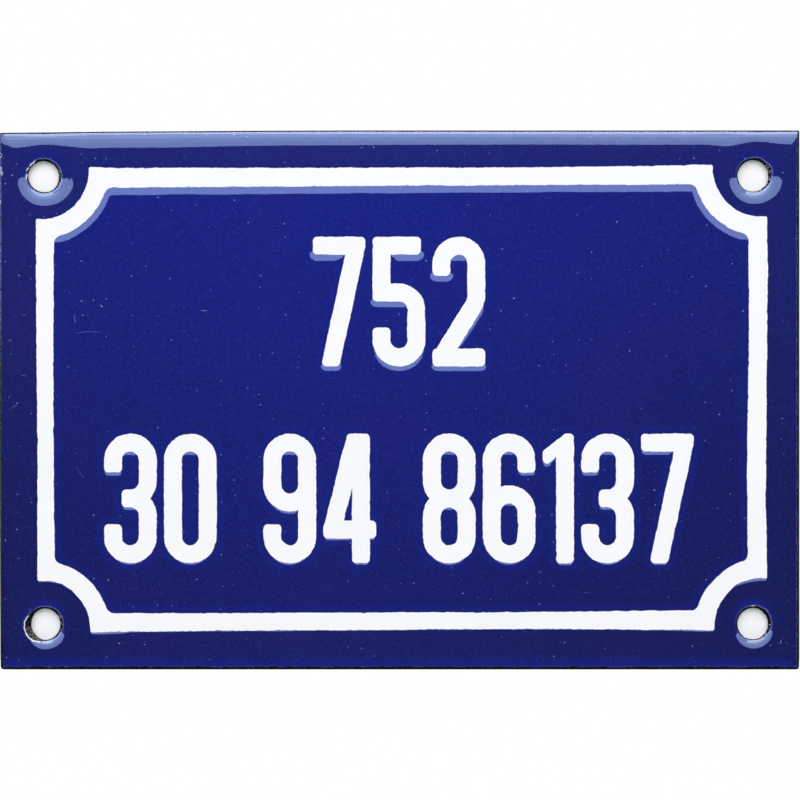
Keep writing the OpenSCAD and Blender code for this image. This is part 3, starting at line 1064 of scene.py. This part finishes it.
def on_border(cut):
    """Which white triangles belong to the border line, and not to the figures within it."""
    middle_x, middle_z = cut.places[cut.kinds["white"]].mean(axis=1).T
    low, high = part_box("white_numerals")
    room = 0.6
    across = (middle_x > low.x / MM - room) & (middle_x < high.x / MM + room)
    return ~(across & (middle_z > low.z / MM - room) & (middle_z < high.z / MM + room))


# ---- Shader nodes and effects


class Shade:
    """Adds nodes to a shader tree. Inputs may be values or the output sockets of other nodes."""

    def __init__(self, tree, where=None):
        self.tree, self.where = tree, where

    def wire(self, node, **inputs):
        """Sets a node's inputs, which are named with _ for spaces, or numbered as in i0."""
        for name, value in inputs.items():
            numbered = name[0] == "i" and name[1:].isdigit()
            socket = node.inputs[int(name[1:]) if numbered else name.replace("_", " ")]
            if isinstance(value, bpy.types.NodeSocket):
                self.tree.links.new(value, socket)
            else:
                socket.default_value = (*value, 1.0) if socket.type == "RGBA" else value
        return node

    def add(self, kind, settings=None, **inputs):
        """Adds a node with its settings and inputs."""
        node = self.tree.nodes.new("ShaderNode" + kind)
        for name, value in (settings or {}).items():
            setattr(node, name, value)
        return self.wire(node, **inputs)

    def maths(self, operation, a, b=0.0):
        """One number worked out from others."""
        return self.add("Math", {"operation": operation}, i0=a, i1=b, i2=0.0).outputs[0]

    def times(self, a, b):
        """A product."""
        return self.maths("MULTIPLY", a, b)

    def plus(self, a, b):
        """A sum."""
        return self.maths("ADD", a, b)

    def between(self, value, low, high, to_low=0.0, to_high=1.0):
        """A value smoothly brought from one range to another."""
        ranges = {"From_Min": low, "From_Max": high, "To_Min": to_low, "To_Max": to_high}
        settings = {"interpolation_type": "SMOOTHSTEP"}
        return self.add("MapRange", settings, Value=value, **ranges).outputs["Result"]

    def mixed(self, share, a, b):
        """A colour between two others."""
        return self.add("Mix", {"data_type": "RGBA"}, i0=share, i6=a, i7=b).outputs[2]

    def parts(self):
        """The place's three numbers."""
        return self.add("SeparateXYZ", Vector=self.where).outputs

    def noise(self, scale, detail=2.0, roughness=0.5):
        """Noise over the place, with so many grains a metre."""
        settings = {"Scale": scale, "Detail": detail, "Roughness": roughness}
        return self.add("TexNoise", Vector=self.where, **settings).outputs["Fac"]

    def kept(self, name):
        """A value kept at the mesh's points."""
        settings = {"attribute_type": "GEOMETRY", "attribute_name": name}
        return self.add("Attribute", settings).outputs["Fac"]

    def bump(self, height, strength, distance=0.0001):
        """Normals that follow a height."""
        return self.add("Bump", Strength=strength, Distance=distance, Height=height).outputs["Normal"]

    def effect(self, name, **inputs):
        """Places an effect with its own values and gives its outputs."""
        settings = {"node_tree": effect_group(name)}
        return self.add("Group", settings, Place=self.where, **inputs).outputs


def specks(shade, given):
    """Sparse small round specks of uneven size, as dust and pinholes leave in glass."""
    parts = shade.parts()
    flat = shade.add("CombineXYZ", X=parts["X"], Y=parts["Z"]).outputs["Vector"]
    settings = {"feature": "F1", "voronoi_dimensions": "2D"}
    spots = shade.add("TexVoronoi", settings, Vector=flat, Scale=given["Per Metre"]).outputs
    picked = shade.add("SeparateColor", Color=spots["Color"]).outputs
    size = shade.times(given["Size"], shade.plus(0.35, picked["Green"]))
    inside = shade.between(spots["Distance"], size, shade.times(size, 0.4))
    chosen = shade.maths("LESS_THAN", picked["Red"], given["Share"])
    strength = shade.plus(0.25, shade.times(picked["Blue"], 0.75))
    return {"Mask": shade.times(shade.times(inside, chosen), strength)}


def clouds(shade, given):
    """Soft patches, as uneven firing leaves in enamel."""
    return {"Mask": shade.between(shade.noise(given["Per Metre"], 3.0), given["Low"], given["High"])}


def surface(shade, given):
    """The faint unevenness of a fired glass surface, as a height."""
    return {"Height": shade.times(shade.noise(given["Per Metre"]), given["Strength"])}


def thickness(shade, given):
    """How dark the field is painted, 0 in the upper left of the field to 1 low and far out: partly thicker
    coat, partly painted shade of light falling from the upper left.
    """
    parts = shade.parts()
    low = shade.between(parts["Z"], given["Full Height"], given["Low Height"])
    middle = shade.maths("SUBTRACT", parts["X"], given["Middle"])
    out = shade.between(shade.maths("ABSOLUTE", middle), 0.005, given["Reach"])
    both = shade.plus(shade.times(low, 0.62), shade.times(out, 0.34))
    return {"Thickness": shade.maths("MINIMUM", both, 1.0)}


def edges(shade, given):
    """How near a place lies to the plate's nearest edge and to its left edge: 1 at the edge."""
    parts = shade.parts()
    across = shade.maths("SUBTRACT", given["Half Width"], shade.maths("ABSOLUTE", parts["X"]))
    upright = shade.maths("SUBTRACT", given["Half Height"], shade.maths("ABSOLUTE", parts["Z"]))
    nearest = shade.maths("MINIMUM", across, upright)
    left = shade.plus(given["Half Width"], parts["X"])
    return {
        "Edge": shade.between(nearest, given["Reach"], 0.0),
        "Left": shade.between(left, given["Reach"], 0.0),
    }


# Each effect's recipe and its inputs with their defaults
EFFECTS = {
    "Glaze specks": (specks, {"Per Metre": 400.0, "Size": 0.05, "Share": 0.3}),
    "Firing clouds": (clouds, {"Per Metre": 30.0, "Low": 0.4, "High": 0.7}),
    "Fired surface": (surface, {"Per Metre": 350.0, "Strength": 1.0}),
    "Coat thickness and shade": (
        thickness, {"Full Height": 0.05, "Low Height": -0.045, "Middle": -0.012, "Reach": 0.09},
    ),
    "Plate edges": (edges, {"Half Width": 0.075, "Half Height": 0.0505, "Reach": 0.0005}),
}


def effect_group(name):
    """An effect's shader node group, built once. Its first input is the place."""
    if name in bpy.data.node_groups:
        return bpy.data.node_groups[name]
    recipe, inputs = EFFECTS[name]
    group = bpy.data.node_groups.new(name, "ShaderNodeTree")
    group.interface.new_socket("Place", in_out="INPUT", socket_type="NodeSocketVector")
    for label, default in inputs.items():
        socket = group.interface.new_socket(label, in_out="INPUT", socket_type="NodeSocketFloat")
        socket.default_value = default
    given = group.nodes.new("NodeGroupInput").outputs
    shade = Shade(group, given["Place"])
    outputs = recipe(shade, given)
    for label in outputs:
        group.interface.new_socket(label, in_out="OUTPUT", socket_type="NodeSocketFloat")
    shade.wire(group.nodes.new("NodeGroupOutput"), **outputs)
    return group


# ---- Materials


def blank(kind, name):
    """A new material or world with an empty shader tree."""
    made = kind.new(name)
    made.use_nodes = True
    made.node_tree.nodes.clear()
    return made


def new_material(name):
    """A material with one Principled shader, its Shade and the shader."""
    material = blank(bpy.data.materials, name)
    shade = Shade(material.node_tree)
    # Places on the sign, in metres
    shade.where = shade.add("TexCoord").outputs["Object"]
    shader = shade.add("BsdfPrincipled")
    shade.add("OutputMaterial", Surface=shader.outputs[0])
    return material, shade, shader


def plate_edges(shade, reach):
    """The mask of the plate's edges, from the plate's own size."""
    sizes = bpy.context.scene.sign_sizes
    return shade.effect("Plate edges", Half_Width=sizes.width / 2, Half_Height=sizes.height / 2, Reach=reach)


def blue_enamel():
    """Deep blue glossy glass with specks, firing clouds, narrow dark rims and worn edges, painted shade low
    down, and painted light on surfaces facing down and on the hole lips.
    """
    colours = bpy.context.scene.sign_colours
    material, shade, shader = new_material("blue enamel")
    colour = shade.mixed(shade.times(shade.kept("margin"), 0.9), colours.blue, colours.margin)
    # Darker low down and far out to the sides: partly thicker coat, partly painted shade of light falling
    # from the upper left
    colour = shade.mixed(shade.effect("Coat thickness and shade")["Thickness"], colour, colours.thick)
    fired = shade.effect("Firing clouds", Per_Metre=38.0, Low=0.50, High=0.72)["Mask"]
    colour = shade.mixed(shade.times(fired, 0.22), colour, colours.violet)
    # Brighter blue where the surface faces down, most in the dishes' upper halves: painted light from below
    colour = shade.mixed(shade.kept("thin"), colour, colours.thin)
    grain = shade.noise(1700.0, 3.0, 0.6)
    colour = shade.mixed(shade.times(shade.between(grain, 0.34, 0.68), 0.30), colour, colours.rim)
    sparse = shade.effect("Glaze specks", Per_Metre=420.0, Size=0.060, Share=0.19)["Mask"]
    dust = shade.effect("Glaze specks", Per_Metre=1900.0, Size=0.34, Share=0.34)["Mask"]
    colour = shade.mixed(shade.maths("MAXIMUM", sparse, shade.times(dust, 0.06)), colour, colours.speck)
    # The blue lies thinner in a band beside the white, and is dark where it meets it
    near_white = shade.kept("near_white")
    within_line = shade.maths("SUBTRACT", 1.0, shade.kept("margin"))
    band = shade.times(shade.between(near_white, 1.9, 0.9), within_line)
    colour = shade.mixed(shade.times(band, 0.28), colour, colours.thin)
    rim_width = shade.between(shade.noise(500.0), 0.3, 0.7, 0.16, 0.40)
    rim = shade.between(near_white, rim_width, 0.10)
    colour = shade.mixed(shade.times(rim, 0.75), colour, colours.rim)
    colour = shade.mixed(shade.between(near_white, 0.12, 0.03), colour, colours.veil)
    # Light lip of the glass: round the screw holes a painted highlight, brightest towards the upper right,
    # and along the cut edge a bruised rim
    mottle = shade.noise(1700.0, 4.0)
    bruised = shade.times(plate_edges(shade, 0.0010)["Edge"], shade.between(mottle, 0.40, 0.66, 0.05, 0.42))
    lip = shade.maths("MAXIMUM", shade.times(shade.kept("lip"), 0.6), bruised)
    colour = shade.mixed(lip, colour, colours.speck)
    # Marks of the glass, with the whitish painted highlight beside each ring's lower right
    marks = shade.times(shade.kept("mark"), shade.between(mottle, 0.30, 0.50))
    colour = shade.mixed(marks, colour, colours.bruise)
    duller = shade.between(grain, 0.3, 0.75, 0.02, 0.05)
    roughness = shade.plus(duller, shade.times(marks, 0.35))
    peel = shade.effect("Fired surface", Per_Metre=420.0, Strength=0.5)["Height"]
    orange = shade.effect("Fired surface", Per_Metre=1700.0, Strength=0.5)["Height"]
    normal = shade.bump(shade.plus(peel, orange), 0.06)
    shade.wire(shader, Base_Color=colour, Roughness=roughness, Normal=normal, IOR=1.6)
    return material


def white_enamel():
    """Opaque white glossy glass with a few faint grey specks."""
    if "white enamel" in bpy.data.materials:
        return bpy.data.materials["white enamel"]
    white = bpy.context.scene.sign_colours.white
    material, shade, shader = new_material("white enamel")
    fired = shade.effect("Firing clouds", Per_Metre=60.0, Low=0.35, High=0.75)["Mask"]
    colour = shade.mixed(fired, white, [part * 0.975 for part in white])
    grey = shade.effect("Glaze specks", Per_Metre=300.0, Size=0.035, Share=0.10)["Mask"]
    grey_speck = (0.45, 0.46, 0.5)
    colour = shade.mixed(shade.times(grey, 0.35), colour, grey_speck)
    normal = shade.bump(shade.effect("Fired surface", Per_Metre=420.0, Strength=1.0)["Height"], 0.05)
    shade.wire(shader, Base_Color=colour, Normal=normal, Roughness=0.05, IOR=1.55)
    return material


def ground_coat():
    """Dark rough ground coat and steel in the chips, the holes and the cut edge."""
    colours = bpy.context.scene.sign_colours
    material, shade, shader = new_material("ground coat")
    mottle = shade.noise(2600.0, 4.0)
    pale_ground, grain_and_glint = (0.020, 0.026, 0.032), (0.66, 0.67, 0.70)
    colour = shade.mixed(shade.between(mottle, 0.50, 0.78), colours.ground, pale_ground)
    rusty = shade.times(shade.kept("steel"), shade.between(mottle, 0.40, 0.56))
    colour = shade.mixed(rusty, colour, colours.steel)
    # The left edge is worn, grey-green low down and blue higher up
    left = plate_edges(shade, 0.0009)["Left"]
    above = shade.between(shade.parts()["Z"], 0.004, 0.024)
    worn = shade.times(left, shade.between(mottle, 0.36, 0.52))
    colour = shade.mixed(worn, colour, shade.mixed(above, colours.wear, colours.speck))
    # Light grains: a few everywhere, more on the worn left edge and in each ring's rough stretch, partly
    # real grains and partly painted glints
    grains = shade.effect("Glaze specks", Per_Metre=3000.0, Size=0.42, Share=0.40)["Mask"]
    share = shade.plus(shade.plus(0.05, shade.times(left, 0.35)), shade.kept("grit_and_glints"))
    colour = shade.mixed(shade.times(grains, share), colour, grain_and_glint)
    chips = shade.times(shade.kept("mark"), shade.between(mottle, 0.30, 0.45))
    colour = shade.mixed(chips, colour, colours.glass)
    roughness = shade.between(mottle, 0.3, 0.7, 0.45, 0.8)
    normal = shade.bump(mottle, 0.5)
    shade.wire(shader, Base_Color=colour, Roughness=roughness, Normal=normal, Specular_IOR_Level=0.06)
    return material


def broken_glaze():
    """Edge where the glass has chipped: dark, with a painted highlight on its lip and painted glints where
    the breaks are bright.
    """
    colours = bpy.context.scene.sign_colours
    material, shade, shader = new_material("broken glaze")
    # Painted glints on the bright breaks, over the whitish fracture
    break_glint = shade.times(shade.kept("break_glint"), shade.between(shade.noise(1500.0, 3.0), 0.24, 0.38))
    # Painted highlight on the glass lip, brightest towards the upper right
    colour = shade.mixed(shade.times(shade.kept("lip"), 0.6), colours.rim, colours.speck)
    colour = shade.mixed(break_glint, colour, colours.glass)
    shade.wire(shader, Base_Color=colour, Roughness=0.25, IOR=1.6)
    return material


def back_coat():
    """Back of the plate: dark ground coat, fired plainly, with faint clouds and specks."""
    back = bpy.context.scene.sign_colours.back
    material, shade, shader = new_material("back coat")
    fired = shade.effect("Firing clouds", Per_Metre=55.0, Low=0.35, High=0.75)["Mask"]
    colour = shade.mixed(fired, back, [part * 2.0 for part in back])
    coarse = shade.effect("Glaze specks", Per_Metre=420.0, Size=0.12, Share=0.30)["Mask"]
    fine = shade.effect("Glaze specks", Per_Metre=1300.0, Size=0.20, Share=0.25)["Mask"]
    both = shade.maths("MAXIMUM", coarse, shade.times(fine, 0.5))
    back_speck = (0.16, 0.17, 0.19)
    colour = shade.mixed(shade.times(both, 0.5), colour, back_speck)
    roughness = shade.between(fired, 0.0, 1.0, 0.22, 0.38)
    height = shade.effect("Fired surface", Per_Metre=700.0, Strength=1.0)["Height"]
    normal = shade.bump(height, 0.25, 0.0002)
    shade.wire(shader, Base_Color=colour, Roughness=roughness, Normal=normal)
    return material


# ---- Studio


def lamp(name, place_at, look_to, size_x, size_y, radiance, colour=(1.0, 1.0, 1.0)):
    """A square-cornered soft lamp that gives its brightness whatever its size."""
    data = bpy.data.lights.new(name, "AREA")
    data.shape = "RECTANGLE"
    data.size, data.size_y = size_x, size_y
    data.color = colour
    data.energy = radiance * math.pi * size_x * size_y
    made = bpy.data.objects.new(name, data)
    made.location = place_at
    made.rotation_mode = "QUATERNION"
    made.rotation_quaternion = (Vector(look_to) - Vector(place_at)).to_track_quat("-Z", "Y")
    made.visible_camera = False
    bpy.context.scene.collection.objects.link(made)
    return made


def flat_panel(name, corners, material):
    """One rectangle of the room."""
    mesh = bpy.data.meshes.new(name)
    mesh.from_pydata(corners, [], [(0, 1, 2, 3)])
    mesh.materials.append(material)
    made = bpy.data.objects.new(name, mesh)
    bpy.context.scene.collection.objects.link(made)
    return made


def room_paint(name, colour, white, share):
    """Matt paint that shows the camera a share of plain white.

    Returns the material, its Shade, whether the camera looks at it, and its shader.
    """
    material = blank(bpy.data.materials, name)
    shade = Shade(material.node_tree)
    seen = shade.add("LightPath").outputs["Is Camera Ray"]
    matt = shade.add("BsdfDiffuse", Color=colour).outputs[0]
    plain = shade.add("Emission", Color=white, Strength=1.0).outputs[0]
    lit = shade.add("MixShader", i0=shade.times(seen, share), i1=matt, i2=plain).outputs[0]
    return material, shade, seen, lit


def wall_paint():
    """White wall behind the sign, seen only from its front."""
    material, shade, seen, lit = room_paint("white wall", (0.87, 0.87, 0.88), (0.95, 0.95, 0.965), 0.15)
    clear = shade.add("BsdfTransparent").outputs[0]
    # Light passes through it, so that it shades nothing behind the sign
    from_front = shade.maths("SUBTRACT", 1.0, shade.add("NewGeometry").outputs["Backfacing"])
    shown = shade.add("MixShader", i0=shade.times(seen, from_front), i1=clear, i2=lit).outputs[0]
    shade.add("OutputMaterial", Surface=shown)
    return material


def floor_paint():
    """Pale floor, mostly as white to the camera as the background, which keeps the soft shadow."""
    material, shade, _, lit = room_paint("pale floor", (0.85, 0.85, 0.84), (0.95, 0.95, 0.95), 0.7)
    shade.add("OutputMaterial", Surface=lit)
    return material


def build_room(studio):
    """Floor, and the part of the wall that shows through the screw holes."""
    x, y, z = 1.6, 1.6, -studio.floor
    floor = flat_panel("floor", [(-x, -y, z), (x, -y, z), (x, y, z), (-x, y, z)], floor_paint())
    # The glass doesn't mirror it: in the photograph nothing light lies below
    floor.visible_glossy = False
    sizes = bpy.context.scene.sign_sizes
    x, y, z = sizes.width / 2 - 0.002, 0.0002, sizes.height / 2 - 0.002
    flat_panel("wall", [(-x, y, -z), (x, y, -z), (x, y, z), (-x, y, z)], wall_paint())


def build_lamps(studio):
    """The open sky that the glass mirrors, and the lamps that light the sign."""
    # The sky is bluest low down, brighter and whiter higher up
    low, far, wide = studio.lamp_edge, studio.lamp_distance, 1.0
    side_low, top, blue = low + 0.022, low + 0.66, (0.43, 0.58, 1.0)
    bands = (
        ("sky_edge", 0.64, low, side_low, 1.0, blue),
        ("sky_low", wide, side_low, 0.25, 1.0, blue),
        ("sky_middle", wide, 0.25, 0.45, 1.05, (0.48, 0.63, 1.0)),
        ("sky_high", wide, 0.45, top, 1.35, (0.48, 0.68, 1.0)),
    )
    skies = []
    for name, across, start, end, share, colour in bands:
        z = (start + end) / 2
        radiance = share * studio.sky
        skies.append(lamp(name, (0.0, -far, z), (0.0, 0.0, z), across, end - start, radiance, colour))
    deep = far - 0.02
    y = -far + deep / 2
    radiance, colour = 1.9 * studio.sky, (0.68, 0.80, 1.0)
    skies.append(lamp("sky_top", (0.0, y, top), (0.0, y, 0.0), wide, deep, radiance, colour))
    z = (side_low + top) / 2
    for name, x in (("sky_left", -wide / 2), ("sky_right", wide / 2)):
        skies.append(lamp(name, (x, y, z), (0.0, y, z), deep, top - side_low, studio.sky, blue))
    # It lights nothing else; a large soft lamp in front, which the glass doesn't mirror, does that
    for sky in skies:
        sky.visible_diffuse = False
    front = lamp("front_fill", (0.0, -0.95, 0.62), (0.0, 0.0, 0.0), 1.4, 1.1, studio.fill)
    front.visible_glossy = False
    lamp("back_fill", (0.5, 1.0, 0.6), (0.0, 0.0, 0.0), 1.0, 0.8, studio.back)


def build_world():
    """White to the camera, and a dim sky to everything else."""
    world = blank(bpy.data.worlds, "room")
    shade = Shade(world.node_tree)
    seen = shade.add("LightPath").outputs["Is Camera Ray"]
    white = shade.add("Background", Color=(1.0, 1.0, 1.0), Strength=1.0).outputs[0]
    dim = shade.add("Background", Color=(0.75, 0.85, 1.0), Strength=0.10).outputs[0]
    both = shade.add("MixShader", i0=seen, i1=dim, i2=white).outputs[0]
    shade.add("OutputWorld", Surface=both)
    bpy.context.scene.world = world
    bpy.context.scene.view_settings.view_transform = "Standard"


def build_camera(studio):
    """The camera in front of the sign's middle."""
    data = bpy.data.cameras.new("camera")
    data.sensor_width = 36.0
    data.lens = data.sensor_width * studio.distance / studio.view
    data.clip_start, data.clip_end = 0.01, 10.0
    camera = bpy.data.objects.new("camera", data)
    camera.location = (studio.aside, -studio.distance, 0.0)
    camera.rotation_euler = (math.radians(90), 0.0, 0.0)
    bpy.context.scene.collection.objects.link(camera)
    bpy.context.scene.camera = camera


# ---- Operators and panel


class SIGN_OT_plate(Operator):
    """Builds the pressed plate with its blue face, chipped holes and dark back."""

    bl_idname = "sign.plate"
    bl_label = "Enamelled plate"

    def execute(self, context):
        seat(build_plate(layout()), "blue_plate")
        return {"FINISHED"}


class SIGN_OT_white_line(Operator):
    """Lays the white border line in its bed."""

    bl_idname = "sign.white_line"
    bl_label = "White line"

    def execute(self, context):
        cut = layout()
        seat(build_white(cut, "white_line", on_border(cut)), "white_border")
        return {"FINISHED"}


class SIGN_OT_white_figures(Operator):
    """Lays the white figures in their beds."""

    bl_idname = "sign.white_figures"
    bl_label = "White figures"

    def execute(self, context):
        cut = layout()
        seat(build_white(cut, "white_figures", ~on_border(cut)), "white_numerals")
        return {"FINISHED"}


class SIGN_OT_studio(Operator):
    """Sets up the floor, wall, lamps and camera."""

    bl_idname = "sign.studio"
    bl_label = "Studio"

    def execute(self, context):
        studio = context.scene.sign_studio
        build_room(studio)
        build_lamps(studio)
        build_world()
        build_camera(studio)
        return {"FINISHED"}


class SIGN_PT_panel(Panel):
    """Lists the sign's sizes, colours and steps."""

    bl_idname = "SIGN_PT_panel"
    bl_label = "Enamel Sign"
    bl_space_type = "VIEW_3D"
    bl_region_type = "UI"
    bl_category = "Enamel Sign"

    def draw(self, context):
        for title, name in (("Sizes", "sign_sizes"), ("Colours", "sign_colours"), ("Studio", "sign_studio")):
            box = self.layout.box()
            box.label(text=title)
            group = getattr(context.scene, name)
            for prop in group.bl_rna.properties:
                if prop.identifier not in ("rna_type", "name"):
                    box.prop(group, prop.identifier)
        for operator in OPERATORS:
            self.layout.operator(operator.bl_idname)


OPERATORS = (SIGN_OT_plate, SIGN_OT_white_line, SIGN_OT_white_figures, SIGN_OT_studio)
CLASSES = (SignSizes, SignColours, SignStudio, *OPERATORS, SIGN_PT_panel)


def register():
    for item in CLASSES:
        bpy.utils.register_class(item)
    bpy.types.Scene.sign_sizes = PointerProperty(type=SignSizes)
    bpy.types.Scene.sign_colours = PointerProperty(type=SignColours)
    bpy.types.Scene.sign_studio = PointerProperty(type=SignStudio)


def unregister():
    del bpy.types.Scene.sign_studio
    del bpy.types.Scene.sign_colours
    del bpy.types.Scene.sign_sizes
    for item in reversed(CLASSES):
        bpy.utils.unregister_class(item)


def main():
    """Builds the sign and its studio."""
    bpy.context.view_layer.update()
    register()
    bpy.ops.sign.plate()
    bpy.ops.sign.white_line()
    bpy.ops.sign.white_figures()
    bpy.ops.sign.studio()
    bpy.context.view_layer.update()


if __name__ == "__main__":
    main()
